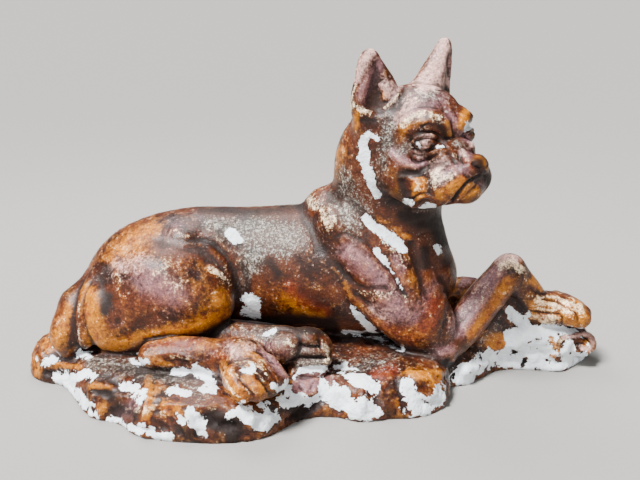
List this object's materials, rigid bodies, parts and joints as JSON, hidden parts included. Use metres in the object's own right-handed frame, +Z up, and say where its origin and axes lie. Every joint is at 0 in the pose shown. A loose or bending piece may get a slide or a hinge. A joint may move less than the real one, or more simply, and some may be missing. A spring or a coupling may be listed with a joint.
{
  "type": "plaster dog figurine",
  "caption": "Cast plaster figurine of a short-nosed dog lying on a rock base, head raised and turned aside, ears pricked, one foreleg bent up, varnish worn to white.",
  "frame": {"origin": "middle of the bounding box of the base's underside, on the surface that the figurine stands on", "axes": "+X from the dog's rump to its forepaws, the base's longest way, +Z up, -Y the dog's right side, which the face is turned towards"},
  "size_m": [0.4627, 0.2005, 0.2662],
  "materials": {
    "varnished_plaster": "brown stain and varnish, half gloss, worn and flaked to matt white plaster"
  },
  "bodies": {
    "root": {"dog_figurine": "varnished_plaster"}
  },
  "joints": []
}
